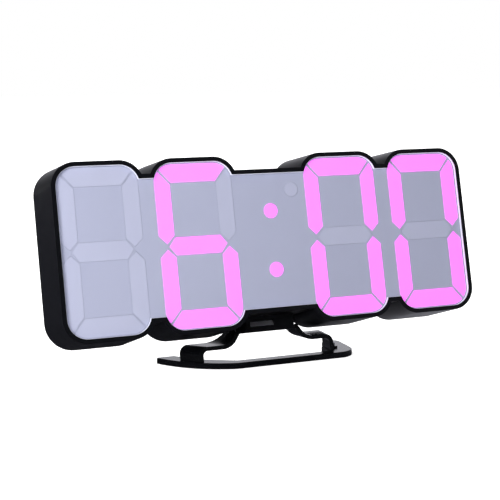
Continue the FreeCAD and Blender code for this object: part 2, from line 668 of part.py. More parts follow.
# Buttons: a round cap with a flange behind the cover, over a small switch
button_rest = f"({COVER_FRONT} - Sizes.button_flange_thickness)"
switch_front = f"({button_rest} - Sizes.button_travel - Sizes.switch_height - 0.4)"
posts, switches = [], []
for node, sign in BUTTONS:
    x = button_place(sign)
    cap = rod(f"{node}Cap", "Sizes.button_radius", "Sizes.cover_thickness + Sizes.button_proud", x,
              COVER_FRONT, "Sizes.button_z")
    flange = rod(f"{node}Flange", "Sizes.button_radius + Sizes.button_flange",
                 "Sizes.button_flange_thickness", x, button_rest, "Sizes.button_z")
    keep(fuse(f"{node}Body", (cap, flange)), node)
    body = box(f"{node}SwitchBody", "Sizes.switch_size", "Sizes.switch_height - 1", "Sizes.switch_size", x,
               switch_front, "Sizes.button_z")
    stem = rod(f"{node}SwitchStem", "1.6", "1", x, f"{switch_front} + Sizes.switch_height - 1",
               "Sizes.button_z")
    switches.append(fuse(f"{node}Switch", (body, stem)))
keep(group("Switches", switches), "button_switches")
switch_board = box("SwitchBoard", "2 * Sizes.button_pitch + 12", "1.2", "14", "Sizes.button_x",
                   f"{switch_front} - 1.2", "Sizes.button_z")
keep(group("SwitchBoardGroup", [switch_board]), "switch_board")
for i, side in enumerate(("-", "+")):
    posts.append(box(f"SwitchPost{i}", "4", f"{switch_front} - 1.2 - {BOARD_BACK}", "6",
                     f"Sizes.button_x {side} (Sizes.button_pitch + 1)", BOARD_BACK, "Sizes.button_z"))
keep(group("SwitchPosts", posts), "switch_board_headers")

# Coin cell, its two contacts and the quarter-turn door
cell_front = f"({step_front} - Sizes.cell_thickness - 0.2)"
coin_can = rod("CoinCan", "Sizes.cell_radius", "Sizes.cell_thickness * 0.75", "Sizes.cell_x",
               f"{cell_front} + Sizes.cell_thickness * 0.25", "Sizes.cell_z")
coin_cap = rod("CoinCap", "Sizes.cell_radius - 1.2", "Sizes.cell_thickness * 0.25", "Sizes.cell_x",
               cell_front, "Sizes.cell_z")
keep(fuse("CoinCell", (coin_can, coin_cap)), "coin_cell")
well_floor = f"({well_front} + Sizes.pocket_wall)"
minus_contact = box("MinusContact", "12", f"{cell_front} - {well_floor}", "4", "Sizes.cell_x", well_floor,
                    "Sizes.cell_z")
keep(group("MinusGroup", [minus_contact]), "cell_minus_contact")
plus_contact = box("PlusContact", "Sizes.pocket_gap - 0.1", "2", "2",
                   "Sizes.cell_x + Sizes.cell_radius + Sizes.pocket_gap / 2 - 0.03",
                   f"{cell_front} + 1", "Sizes.cell_z")
keep(group("PlusGroup", [plus_contact]), "cell_plus_contact")
door_front = f"({COVER_FRONT} - Sizes.door_tab_play - Sizes.door_tab_thickness)"
door_disc = rod("DoorDisc", "Sizes.door_radius", f"{COVER_BACK} - {door_front}", "Sizes.cell_x", door_front,
                "Sizes.cell_z")
tab_bar = box("DoorTabBar", f"2 * {TAB_RADIUS}", "Sizes.door_tab_thickness", "Sizes.door_tab_width",
              "Sizes.cell_x", door_front, "Sizes.cell_z")
tab_round = rod("DoorTabRound", TAB_RADIUS, "Sizes.door_tab_thickness", "Sizes.cell_x", door_front,
                "Sizes.cell_z")
door_tabs = doc.addObject("Part::MultiCommon", "DoorTabs")
door_tabs.Shapes = [tab_bar, tab_round]
coin_slot = box("CoinSlot", "1.3 * Sizes.door_radius", "Sizes.coin_slot_depth", "Sizes.coin_slot_width",
                "Sizes.cell_x", f"{COVER_BACK} - Sizes.coin_slot_depth", "Sizes.cell_z")
keep(cut("Door", fuse("DoorSolid", (door_disc, door_tabs)), [coin_slot]), "battery_door")

# Case screws through the cover into the bosses
head_depth = f"({COVER_BACK} - Sizes.screw_head_height)"
cover_screw_length = "(Sizes.screw_length - 1)"
keep(group("CaseScrews", [screw(f"CaseScrew{t}", x, z, head_depth, cover_screw_length)
                          for t, x, z in CASE_SCREWS]), "case_screws")

# Stand socket: a block under the bridge, its top shaped to the case's flared underside
nose_height = "(Sizes.socket_bottom - Sizes.bridge_half_height)"
heel_height = "(Sizes.heel_bottom - Sizes.bridge_half_height)"
nose = box("SocketNose", "2 * Sizes.socket_nose_half_width", "Sizes.case_depth - Sizes.socket_front",
           nose_height, "0", "Sizes.socket_front", "-(Sizes.socket_bottom + Sizes.bridge_half_height) / 2")
heel = box("SocketHeel", "2 * Sizes.socket_half_width", "Sizes.case_depth - Sizes.socket_step",
           heel_height, "0", "Sizes.socket_step", "-(Sizes.heel_bottom + Sizes.bridge_half_height) / 2")
slots = [
    box(f"SocketSlot{i}", "Sizes.leg_thickness + 2 * Sizes.tab_gap",
        "Sizes.tab_back - Sizes.tab_front + 2 * Sizes.tab_gap", "Sizes.socket_bottom - Sizes.bridge_half_height",
        f"{sign}Sizes.tab_x", "Sizes.tab_front - Sizes.tab_gap",
        "-(Sizes.socket_bottom + Sizes.bridge_half_height) / 2")
    for i, sign in enumerate(("-", ""))
]
ledge = box("SocketLedge", "12.5", "1.5", "3", "-4.2", "Sizes.socket_front", "-Sizes.socket_bottom + 4")
case_space = clock_outline("CaseSpace", "Sizes.case_wall", "0", "Sizes.case_depth", FLARE_ANGLE)
socket_body = cut("SocketBlock", fuse("SocketSolid", (nose, heel)), slots + [ledge, case_space])
keep(socket_body, "stand_socket")


# Stand legs: two strips bent in an S, level along their width, with a tab at the top
def leg_outline(rise_x, bend, run_z, foot_x, depth):
    """The strip's cross outline at one depth, as a flat wire in the leaning clock."""
    slope, foot_bend = math.radians(size("leg_rise_angle")), size("leg_foot_bend")
    tab_x, top_z, low_z = size("tab_x"), -size("tab_top"), run_z - 20

    def on_rise(turn):
        return Vector(rise_x - bend * math.sin(turn), depth, run_z + bend * (1 - math.cos(turn)))

    rise_end = on_rise(slope)
    meet_z = rise_end.z + (rise_end.x - tab_x) * math.tan(slope)
    diagonal = foot_bend * math.sqrt(0.5)
    foot_middle = Vector(foot_x - foot_bend + diagonal, depth, run_z - foot_bend + diagonal)
    edges = [
        Part.LineSegment(Vector(tab_x, depth, top_z), Vector(tab_x, depth, meet_z)).toShape(),
        Part.LineSegment(Vector(tab_x, depth, meet_z), rise_end).toShape(),
        Part.Arc(rise_end, on_rise(slope / 2), Vector(rise_x, depth, run_z)).toShape(),
        Part.LineSegment(Vector(rise_x, depth, run_z), Vector(foot_x - foot_bend, depth, run_z)).toShape(),
        Part.Arc(Vector(foot_x - foot_bend, depth, run_z), foot_middle,
                 Vector(foot_x, depth, run_z - foot_bend)).toShape(),
        Part.LineSegment(Vector(foot_x, depth, run_z - foot_bend), Vector(foot_x, depth, low_z)).toShape(),
    ]
    thickness = size("leg_thickness")
    one_side = Part.Wire(edges).makeOffset2D(-thickness / 2, join=2, openResult=True)
    return one_side.makeOffset2D(thickness, join=2, fill=True, openResult=True).OuterWire


def leg_solid(side):
    """One strip on the right-hand side of the leaning clock, not yet trimmed to the base."""
    front, depth = size(f"{side}_front"), size(f"{side}_depth")
    run_z, foot_x = -size(f"{side}_run_drop"), size(f"{side}_foot_x")
    level_rise = depth * math.tan(math.radians(size("lean_angle")))
    front_wire = leg_outline(size(f"{side}_rise_x"), size(f"{side}_rise_bend"), run_z, foot_x, front)
    back_wire = leg_outline(size(f"{side}_back_rise_x"), size(f"{side}_back_rise_bend"), run_z + level_rise,
                            foot_x + size(f"{side}_splay"), front + depth)
    strip = Part.makeLoft([front_wire, back_wire], True, True)
    shoulder = -size("shoulder_drop")
    before_tab = Part.makeBox(60, 60, 60, Vector(0, size("tab_front") - 60, shoulder))
    behind_tab = Part.makeBox(60, 60, 60, Vector(0, size("tab_back"), shoulder))
    beside_tab = Part.makeBox(60, 60, 60, Vector(size("tab_x") + size("leg_thickness") / 2, 0,
                                                 -size("heel_bottom") - size("tab_gap")))
    return strip.cut(before_tab).cut(behind_tab).cut(beside_tab)


def lean_placement():
    angle = math.radians(size("lean_angle"))
    back = -(size("case_flare") * math.sin(angle) + size("case_depth") * math.cos(angle)) / 2
    lift = size("centre_height") + size("segment_plane") * math.sin(angle)
    turn = FreeCAD.Rotation(Vector(1, 0, 0), -size("lean_angle"))
    return FreeCAD.Placement(Vector(0, back, lift), turn)


def on_base(x, depth):
    """The place on top of the base under a strip's centre line at one depth."""
    angle = math.radians(size("lean_angle"))
    start = lean_placement().Base
    down = (size("base_thickness") - start.z + depth * math.sin(angle)) / math.cos(angle)
    return Vector(x, start.y + depth * math.cos(angle) + down * math.sin(angle), size("base_thickness"))


floor_cut = Part.makeBox(400, 400, 200, Vector(-200, -200, size("base_thickness") - 200))
FOOT_SCREWS = {}
for side, turned, shift in (("left", 1, "0"), ("right", -1, "Sizes.right_foot_shift")):
    strip = leg_solid(side)
    strip.Placement = lean_placement()
    strip = strip.cut(floor_cut)
    # A small foot turned over on the base, inwards or outwards, takes the fixing screw
    near = on_base(size(f"{side}_foot_x"), size(f"{side}_front"))
    far = on_base(size(f"{side}_foot_x") + size(f"{side}_splay"),
                  size(f"{side}_front") + size(f"{side}_depth"))
    along = (far - near).normalize()
    sideways = Vector(-along.y, along.x, 0) * turned
    middle = (near + far) / 2 + along * number(shift)
    start = middle - along * size("foot_width") / 2
    corners = [start, start + along * size("foot_width")]
    corners += [c + sideways * size("foot_length") for c in reversed(corners)]
    foot = Part.Face(Part.makePolygon(corners + corners[:1])).extrude(Vector(0, 0, size("foot_thickness")))
    screw_at = middle + sideways * size("foot_screw_reach")
    hole = Part.makeCylinder(size("screw_radius") + size("screw_hole_gap"), size("foot_thickness"), screw_at)
    leg = strip.fuse(foot).cut(hole)
    if side == "left":
        leg = leg.mirror(Vector(), Vector(1, 0, 0))
        screw_at = Vector(-screw_at.x, screw_at.y, screw_at.z)
    FOOT_SCREWS[side] = screw_at
    keep(feature(f"{side.title()}Leg", leg), f"{side}_stand_leg", None)

# Stand base: a flat plate, open at the back between two arms, its corners rounded
base_body = doc.addObject("PartDesign::Body", "StandBase")
plane = [f for f in base_body.Origin.OriginFeatures if f.Role == "XY_Plane"][0]
base_sketch = base_body.newObject("Sketcher::SketchObject", "BaseOutline")
base_sketch.AttachmentSupport = (plane, [""])
base_sketch.MapMode = "FlatFace"
OUTLINE = (
    ("-Sizes.base_left_vertex_x", "Sizes.base_front"),
    ("Sizes.base_right_x", "Sizes.base_front"),
    ("Sizes.base_right_x", "Sizes.base_right_back"),
    ("Sizes.base_right_inner_x", "Sizes.base_right_back"),
    ("Sizes.base_right_inner_x", "Sizes.base_right_shoulder"),
    ("Sizes.base_right_waist_x", "Sizes.base_right_waist"),
    ("Sizes.base_right_waist_x", "Sizes.base_bar_back"),
    ("-Sizes.base_left_inner_x", "Sizes.base_bar_back"),
    ("-Sizes.base_left_waist_x", "Sizes.base_left_waist"),
    ("-Sizes.base_left_tip_inner_x", "Sizes.base_left_tip"),
    ("-Sizes.base_left_tip_x", "Sizes.base_left_tip"),
)
SEGMENT_LINE = (
    "(Sizes.segment_plane * cos(Sizes.lean_angle) - (Sizes.case_flare * sin(Sizes.lean_angle)"
    " + Sizes.case_depth * cos(Sizes.lean_angle)) / 2)"
)
points = [Vector(number(x), number(f"{y} + {SEGMENT_LINE}"), 0) for x, y in OUTLINE]
lines = []
for start, end in zip(points[:-1], points[1:]):
    lines.append(base_sketch.addGeometry(Part.LineSegment(start, end)))
# The left side is one long outward bow from the tip to the front edge
chord = points[0] - points[-1]
bow = size("base_left_bow")
sag = bow - math.sqrt(bow ** 2 - (chord.Length / 2) ** 2)
outwards = Vector(chord.y, -chord.x, 0).normalize()
side_bow = Part.Arc(points[-1], (points[0] + points[-1]) / 2 + outwards * sag, points[0])
lines.append(base_sketch.addGeometry(side_bow))
for i, line in enumerate(lines):
    joint = Sketcher.Constraint("Coincident", line, 2, lines[(i + 1) % len(lines)], 1)
    base_sketch.addConstraint(joint)
for i, (x, y) in enumerate(OUTLINE):
    for title, axis, value, formula in (
        (f"across{i}", "DistanceX", points[i].x, x),
        (f"along{i}", "DistanceY", points[i].y, f"{y} + {SEGMENT_LINE}"),
    ):
        rule = Sketcher.Constraint(axis, -1, 1, lines[i], 1, value)
        base_sketch.renameConstraint(base_sketch.addConstraint(rule), title)
        base_sketch.setExpression(f"Constraints.{title}", formula)
rule = Sketcher.Constraint("Radius", lines[-1], bow)
base_sketch.renameConstraint(base_sketch.addConstraint(rule), "bow")
base_sketch.setExpression("Constraints.bow", "Sizes.base_left_bow")
base_pad = base_body.newObject("PartDesign::Pad", "BasePlate")
base_pad.Profile = base_sketch
bind(base_pad, Length="Sizes.base_thickness")
doc.recompute()


def upright_edges(shape, spots):
    names = []
    for i, edge in enumerate(shape.Edges, start=1):
        middle = edge.valueAt((edge.FirstParameter + edge.LastParameter) / 2)
        straight_up = abs(edge.BoundBox.XLength) < 1e-6 and abs(edge.BoundBox.YLength) < 1e-6
        if straight_up and any(math.hypot(middle.x - x, middle.y - y) < 1e-3 for x, y in spots):
            names.append(f"Edge{i}")
    return names


def round_corners(name, base, corner_numbers, radius):
    fillet = base_body.newObject("PartDesign::Fillet", name)
    spots = [(points[i].x, points[i].y) for i in corner_numbers]
    fillet.Base = (base, upright_edges(base.Shape, spots))
    bind(fillet, Radius=radius)
    doc.recompute()
    return fillet


round_front = round_corners("FrontCorners", base_pad, (0, 1), "Sizes.base_corner")
round_right = round_corners("RightArmTip", round_front, (2, 3), "Sizes.base_right_tip_corner")
round_inner = round_corners("RightArmInside", round_right, (4, 5), "Sizes.base_inner_corner")
round_tips = round_corners("LeftArmTip", round_inner, (9, 10), "Sizes.base_tip_corner")
bevel = base_body.newObject("PartDesign::Chamfer", "TopBevel")
top_face = [
    f"Face{i}" for i, f in enumerate(round_tips.Shape.Faces, start=1)
    if abs(f.CenterOfMass.z - size("base_thickness")) < 1e-6
]
bevel.Base = (round_tips, top_face)
bind(bevel, Size="Sizes.base_bevel")
doc.recompute()
base_body.Tip = bevel
for node, spot in FOOT_SCREWS.items():
    hole_sketch = base_body.newObject("Sketcher::SketchObject", f"{node}HoleSketch")
    hole_sketch.AttachmentSupport = (plane, [""])
    hole_sketch.MapMode = "FlatFace"
    circle = Part.Circle(Vector(spot.x, spot.y, 0), Vector(0, 0, 1), size("screw_radius"))
    hole_sketch.addGeometry(circle)
    hole_sketch.addConstraint(Sketcher.Constraint("Radius", 0, size("screw_radius")))
    hole_sketch.renameConstraint(0, "bore")
    hole_sketch.setExpression("Constraints.bore", "Sizes.screw_radius")
    hole_sketch.addConstraint(Sketcher.Constraint("DistanceX", -1, 1, 0, 3, spot.x))
    hole_sketch.addConstraint(Sketcher.Constraint("DistanceY", -1, 1, 0, 3, spot.y))
    hole = base_body.newObject("PartDesign::Pocket", f"{node}Hole")
    hole.Profile = hole_sketch
    hole.Type = "ThroughAll"
    hole.Reversed = True
    doc.recompute()
    base_body.Tip = hole
keep(base_body, "stand_base", None)

# Two screws hold the turned feet down on the base
foot_screws = []
for spot in FOOT_SCREWS.values():
    seat = size("base_thickness") + size("foot_thickness")
    shank_len = seat - 0.6
    head = Part.makeCylinder(size("foot_screw_head_radius"), size("foot_screw_head_height"),
                             Vector(spot.x, spot.y, seat))
    top_edge = [e for e in head.Edges if e.BoundBox.ZMin > seat + 0.9 * size("foot_screw_head_height")]
    head = head.makeFillet(0.6 * size("foot_screw_head_height") / 2, top_edge)
    shank = Part.makeCylinder(size("screw_radius"), shank_len, Vector(spot.x, spot.y, seat - shank_len))
    foot_screws.append(head.fuse(shank).removeSplitter())
keep(feature("FootScrews", Part.makeCompound(foot_screws)), "stand_leg_screws", None)

doc.recompute()
problems = [o.Name for o in doc.Objects if "Invalid" in o.State or "Error" in o.State]
for obj in pieces:
    if obj.Shape.isNull() or not obj.Shape.isValid() or not obj.Shape.Solids:
        problems.append(f"{obj.Label} shape")
if problems:
    raise RuntimeError("failed objects: " + ", ".join(problems))

for obj in pieces:
    obj.Shape.exportStep(f"parts/{obj.Label}.step")
    print(obj.Label, len(obj.Shape.Solids), round(obj.Shape.Volume, 1))
whole = Part.makeCompound([obj.Shape for obj in pieces]).optimalBoundingBox()
print("box", [round(v, 2) for v in (whole.XMin, whole.XMax, whole.YMin, whole.YMax, whole.ZMin, whole.ZMax)])
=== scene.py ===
import math

import bpy
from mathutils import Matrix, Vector


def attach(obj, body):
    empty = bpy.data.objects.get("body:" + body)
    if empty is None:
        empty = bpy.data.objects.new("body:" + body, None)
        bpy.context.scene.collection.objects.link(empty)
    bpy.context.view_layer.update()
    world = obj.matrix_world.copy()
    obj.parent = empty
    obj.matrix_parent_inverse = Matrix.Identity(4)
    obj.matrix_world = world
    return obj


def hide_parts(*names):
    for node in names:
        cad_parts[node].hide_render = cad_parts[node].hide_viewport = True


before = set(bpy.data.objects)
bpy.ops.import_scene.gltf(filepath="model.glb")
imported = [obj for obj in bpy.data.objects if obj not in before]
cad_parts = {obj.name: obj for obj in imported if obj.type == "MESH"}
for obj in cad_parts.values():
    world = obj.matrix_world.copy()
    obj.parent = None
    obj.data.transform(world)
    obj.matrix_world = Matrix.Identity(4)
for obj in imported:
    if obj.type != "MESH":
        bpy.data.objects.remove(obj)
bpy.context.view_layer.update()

# Deep front shell of the case: black ABS moulded in one piece, four rounded cells joined by a
# lower bridge and flaring a little to the back. The mould gives a satin face with a fine grain,
# and the rounded rim shows as a thin bright line where it catches the light.
MM = 0.001
MERGE_DISTANCE = 0.004 * MM
FLAT_ANGLE = math.radians(0.3)
SMOOTH_ANGLE = math.radians(50)
LARGE_FACE_WEIGHT = 80
RIM_ROUNDING = 0.2 * MM
ABS_IOR = 1.53
PATCH_GRAINS = 18
POLISH_DRIFT = 0.04
GRAIN_STRENGTH = 0.35
# A Mix node of colours has sockets that share a name, so they are found by number.
FACTOR, FIRST, SECOND, MIXED = 0, 6, 7, 2


def linear(hex_colour):
    """The linear colour that a written sRGB hex colour stands for."""
    parts = [int(hex_colour[i:i + 2], 16) / 255 for i in (1, 3, 5)]
    turned = [p / 12.92 if p <= 0.04045 else ((p + 0.055) / 1.055) ** 2.4 for p in parts]
    return (*turned, 1.0)


def with_empty_nodes(owner):
    """Gives a new material or world an empty node tree."""
    owner.use_nodes = True
    owner.node_tree.nodes.clear()
    return owner


def add_node(owner, kind, values=None, links=None, **settings):
    """Adds one shader node with its settings, socket values and incoming links."""
    node = owner.node_tree.nodes.new(kind)
    for name, value in settings.items():
        setattr(node, name, value)
    for name, value in (values or {}).items():
        node.inputs[name].default_value = value
    for name, source in (links or {}).items():
        owner.node_tree.links.new(source, node.inputs[name])
    return node


def surface(name, colour, second, roughness, grain, relief, sockets):
    """A finish that drifts between two close colours, with a grain of a real size and height."""
    material = with_empty_nodes(bpy.data.materials.new(name))
    place = add_node(material, "ShaderNodeTexCoord")
    drift = add_node(material, "ShaderNodeTexNoise",
                     {"Scale": 1 / (PATCH_GRAINS * grain), "Detail": 3.0},
                     {"Vector": place.outputs["Object"]})
    tone = add_node(material, "ShaderNodeMix", {FIRST: linear(colour), SECOND: linear(second)},
                    {FACTOR: drift.outputs["Fac"]}, data_type="RGBA")
    polish = add_node(material, "ShaderNodeMapRange",
                      {"To Min": roughness - POLISH_DRIFT, "To Max": roughness + POLISH_DRIFT},
                      {"Value": drift.outputs["Fac"]})
    pits = add_node(material, "ShaderNodeTexNoise",
                    {"Scale": 1 / grain, "Detail": 2.0, "Roughness": 0.6},
                    {"Vector": place.outputs["Object"]})
    bump = add_node(material, "ShaderNodeBump", {"Strength": GRAIN_STRENGTH, "Distance": relief},
                    {"Height": pits.outputs["Fac"]})
    shader = add_node(material, "ShaderNodeBsdfPrincipled", sockets,
                      {"Base Color": tone.outputs[MIXED], "Roughness": polish.outputs["Result"],
                       "Normal": bump.outputs["Normal"]})
    add_node(material, "ShaderNodeOutputMaterial", links={"Surface": shader.outputs["BSDF"]})
    return material


def only(piece):
    """Selects one piece alone and makes it the active one."""
    bpy.ops.object.select_all(action="DESELECT")
    bpy.context.view_layer.objects.active = piece
    piece.select_set(True)


def copy_of_node(node, name):
    """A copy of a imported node's mesh with its loose triangles joined up, ready to be worked on."""
    piece = bpy.data.objects.new(name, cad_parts[node].data.copy())
    bpy.context.collection.objects.link(piece)
    only(piece)
    bpy.ops.object.mode_set(mode="EDIT")
    bpy.ops.mesh.select_all(action="SELECT")
    bpy.ops.mesh.customdata_custom_splitnormals_clear()
    bpy.ops.mesh.remove_doubles(threshold=MERGE_DISTANCE)
    bpy.ops.mesh.dissolve_limited(angle_limit=FLAT_ANGLE)
    bpy.ops.object.mode_set(mode="OBJECT")
    return piece


def round_edges(piece, width, segments=3, sharper_than=35):
    """Rounds the edges sharper than an angle in degrees, and shades the flat faces flat."""
    only(piece)
    bevel = piece.modifiers.new("Rounding", "BEVEL")
    bevel.width = width
    bevel.segments = segments
    bevel.limit_method = "ANGLE"
    bevel.angle_limit = math.radians(sharper_than)
    bevel.use_clamp_overlap = True
    bpy.ops.object.modifier_apply(modifier=bevel.name)
    bpy.ops.object.shade_smooth_by_angle(angle=SMOOTH_ANGLE)
    flat = piece.modifiers.new("Flat faces", "WEIGHTED_NORMAL")
    flat.weight = LARGE_FACE_WEIGHT
    flat.keep_sharp = True
    bpy.ops.object.modifier_apply(modifier=flat.name)


def finish_piece(piece, material, body, nodes):
    """Gives a finished piece its material, its body and the nodes that it stands for."""
    piece.data.materials.clear()
    piece.data.materials.append(material)
    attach(piece, body)
    if nodes:
        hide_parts(*nodes)


def eased_copy(node, name, rounding, material, body="clock", segments=3):
    """Replaces a node by a copy of it with rounded edges and a finish."""
    piece = copy_of_node(node, name)
    round_edges(piece, rounding, segments)
    finish_piece(piece, material, body, [node])
    return piece


case_abs = surface("Satin moulded ABS", colour="#090A0E", second="#0C0D11", roughness=0.4,
                   grain=0.7 * MM, relief=0.008 * MM,
                   sockets={"IOR": ABS_IOR, "Specular IOR Level": 0.19})
eased_copy("front_case", "case_shell", RIM_ROUNDING, case_abs)

# White light boxes: one glossy white ABS moulding per digit and one for the dots, screwed behind
# the face, with a walled cavity for every segment. The white walls throw the lamps' light forward.
REFLECTOR_ROUNDING = 0.15 * MM
white_abs = surface("Glossy white ABS", colour="#E6E6E8", second="#DDDDE0", roughness=0.22,
                    grain=0.9 * MM, relief=0.004 * MM, sockets={"IOR": ABS_IOR})
for place in ("digit_1", "digit_2", "digit_3", "digit_4", "colon"):
    eased_copy(f"{place}_reflector", f"{place}_light_box", REFLECTOR_ROUNDING, white_abs,
               segments=1)

# Face panel: a polycarbonate sheet screen printed pale lavender grey, cut out for each segment.
# The silky print is even, with a faint cloudiness from the ink.
face_print = surface("Screen-printed polycarbonate", colour="#B0B4CA", second="#B4B8CD",
                     roughness=0.5, grain=0.5 * MM, relief=0.002 * MM, sockets={"IOR": 1.58})
face_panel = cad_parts["face_panel"]
face_panel.data.materials.clear()
face_panel.data.materials.append(face_print)

# Segments: milky cast acrylic diffusers pressed into the face, their edges eased by the cutter.
# Lit ones glow an even pink from the lamps behind; unlit ones show the milky sheet. The print of
# the face laps a little over the edge of each one.
LEAN = math.radians(15.3)
OUT = Vector((0, math.cos(LEAN), -math.sin(LEAN)))  # the direction that the clock's back faces
ALONG_OUT = 0.99
SEGMENT_ROUNDING = 0.08 * MM
PRINT_LAP = 0.3 * MM
ACRYLIC_IOR = 1.49
CLOUD_WIDTH = 14 * MM
LIT_STRENGTH = 0.8
DIFFUSERS = (
    ("digit_1_dark_segments", False), ("digit_2_lit_segments", True), ("digit_2_dark_segments", False),
    ("digit_3_lit_segments", True), ("digit_3_dark_segments", False), ("digit_4_lit_segments", True),
    ("digit_4_dark_segments", False), ("colon_dots", True), ("degree_dot", False),
)


def faces_viewer(face):
    """Says if a mesh face looks out of the clock's front."""
    return face.normal.dot(OUT) < -ALONG_OUT


def select_faces(piece, wanted):
    """Opens a piece in edit mode with the faces selected that pass a test."""
    only(piece)
    bpy.ops.object.mode_set(mode="EDIT")
    bpy.ops.mesh.select_all(action="DESELECT")
    bpy.ops.object.mode_set(mode="OBJECT")
    for face in piece.data.polygons:
        face.select = wanted(face)
    bpy.ops.object.mode_set(mode="EDIT")


lit_acrylic = with_empty_nodes(bpy.data.materials.new("Milky acrylic lit pink"))
lit_place = add_node(lit_acrylic, "ShaderNodeTexCoord")
lit_cloud = add_node(lit_acrylic, "ShaderNodeTexNoise", {"Scale": 1 / CLOUD_WIDTH, "Detail": 1.0},
                     {"Vector": lit_place.outputs["Object"]})
lit_glow = add_node(lit_acrylic, "ShaderNodeMix",
                    {FIRST: linear("#FF62FF"), SECOND: linear("#FF5AFA")},
                    {FACTOR: lit_cloud.outputs["Fac"]}, data_type="RGBA")
lit_shader = add_node(lit_acrylic, "ShaderNodeBsdfPrincipled",
                      {"Base Color": linear("#E08EE0"), "Roughness": 0.45, "IOR": ACRYLIC_IOR,
                       "Emission Strength": LIT_STRENGTH},
                      {"Emission Color": lit_glow.outputs[MIXED]})
add_node(lit_acrylic, "ShaderNodeOutputMaterial", links={"Surface": lit_shader.outputs["BSDF"]})
unlit_acrylic = surface("Milky acrylic unlit", colour="#BABED2", second="#BDC0D6", roughness=0.42,
                        grain=0.6 * MM, relief=0.001 * MM, sockets={"IOR": ACRYLIC_IOR})
for node, lit in DIFFUSERS:
    diffuser = copy_of_node(node, f"{node}_acrylic")
    select_faces(diffuser, faces_viewer)
    bpy.ops.mesh.inset(thickness=PRINT_LAP, depth=0.0, use_individual=True)
    bpy.ops.object.mode_set(mode="OBJECT")
    finish_piece(diffuser, lit_acrylic if lit else unlit_acrylic, "clock", [node])
    diffuser.data.materials.append(face_print)
    for face in diffuser.data.polygons:
        face.material_index = int(faces_viewer(face) and not face.select)
    round_edges(diffuser, SEGMENT_ROUNDING, segments=2)

# Window: clear cast acrylic, laser cut and bonded inside the rim. Its face is polished, and its
# flame-polished cut edge carries a painted glint: a pale colour and a faint glow stand for the light of
# the face caught in the edge. The panel is thin, so the bending of light in it is left out, and only its
# outer side mirrors the room.
WINDOW_ROUNDING = 0.12 * MM
WIPE_LENGTH = 30 * MM
# Painted glint on the cut edge: a pale colour and a faint glow for the face's light caught in it.
EDGE_GLINT_PALE = "#D8DAE8"
EDGE_GLINT_GLOW = 0.33
ALONG_FACE = 0.95

acrylic = with_empty_nodes(bpy.data.materials.new("Clear cast acrylic"))
clear = add_node(acrylic, "ShaderNodeBsdfTransparent", {"Color": linear("#FCFCFD")})
wipe_place = add_node(acrylic, "ShaderNodeTexCoord")
wipe_marks = add_node(acrylic, "ShaderNodeTexNoise", {"Scale": 1 / WIPE_LENGTH, "Detail": 4.0},
                      {"Vector": wipe_place.outputs["Object"]})
wipe_range = add_node(acrylic, "ShaderNodeMapRange", {"To Min": 0.05, "To Max": 0.09},
                      {"Value": wipe_marks.outputs["Fac"]})
polished = add_node(acrylic, "ShaderNodeBsdfGlossy", links={"Roughness": wipe_range.outputs["Result"]})
facing = add_node(acrylic, "ShaderNodeFresnel", {"IOR": ACRYLIC_IOR})
side_hit = add_node(acrylic, "ShaderNodeNewGeometry")
outer_side = add_node(acrylic, "ShaderNodeMath", {0: 1.0}, {1: side_hit.outputs["Backfacing"]},
                      operation="SUBTRACT")
mirrored_share = add_node(acrylic, "ShaderNodeMath", operation="MULTIPLY",
                          links={0: facing.outputs["Fac"], 1: outer_side.outputs["Value"]})
window_mix = add_node(acrylic, "ShaderNodeMixShader", links={
    0: mirrored_share.outputs["Value"], 1: clear.outputs["BSDF"], 2: polished.outputs["BSDF"]})
add_node(acrylic, "ShaderNodeOutputMaterial", links={"Surface": window_mix.outputs["Shader"]})
# The edge's pale colour and emission are a painted glint of the light of the face.
edge_glint_paint = surface("Acrylic edge with painted glint", colour=EDGE_GLINT_PALE, second="#DEE0EC", roughness=0.25,
                   grain=0.8 * MM, relief=0.002 * MM,
                   sockets={"IOR": ACRYLIC_IOR, "Emission Color": linear(EDGE_GLINT_PALE),
                            "Emission Strength": EDGE_GLINT_GLOW})
window = eased_copy("front_lens", "window_panel", WINDOW_ROUNDING, acrylic, segments=2)
window.data.materials.append(edge_glint_paint)
for face in window.data.polygons:
    if abs(face.normal.dot(OUT)) < ALONG_FACE:
        face.material_index = 1

# Main board and switch board: glass-fibre laminate under green solder mask. The copper tracks show
# through the mask as paler lines, drawn coarser than real ones so that they can be seen.
BOARD_ROUNDING = 0.1 * MM
TRACK_PITCH = 4.8 * MM
WAVE_PITCH = 0.314  # metres between two bands of a Wave texture at a scale of 1
COPPER_HEIGHT = 0.03 * MM
board_mask = with_empty_nodes(bpy.data.materials.new("Green solder mask on laminate"))
track_place = add_node(board_mask, "ShaderNodeTexCoord")
tracks = add_node(board_mask, "ShaderNodeTexWave",
                  {"Scale": WAVE_PITCH / TRACK_PITCH, "Distortion": 5.0, "Detail": 0.0,
                   "Detail Scale": 0.4},
                  {"Vector": track_place.outputs["Object"]}, bands_direction="X")
track_edges = add_node(board_mask, "ShaderNodeMapRange", {"From Min": 0.80, "From Max": 0.84},
                       {"Value": tracks.outputs["Fac"]})
track_tone = add_node(board_mask, "ShaderNodeMix",
                      {FIRST: linear("#0E4A2C"), SECOND: linear("#1E6B40")},
                      {FACTOR: track_edges.outputs["Result"]}, data_type="RGBA")
track_bump = add_node(board_mask, "ShaderNodeBump", {"Strength": 0.4, "Distance": COPPER_HEIGHT},
                      {"Height": track_edges.outputs["Result"]})
mask_shader = add_node(board_mask, "ShaderNodeBsdfPrincipled", {"Roughness": 0.3, "IOR": 1.5},
                       {"Base Color": track_tone.outputs[MIXED], "Normal": track_bump.outputs["Normal"]})
add_node(board_mask, "ShaderNodeOutputMaterial", links={"Surface": mask_shader.outputs["BSDF"]})
for node, name in (("main_board", "main_board_laminate"), ("switch_board", "switch_board_laminate")):
    eased_copy(node, name, BOARD_ROUNDING, board_mask, segments=1)

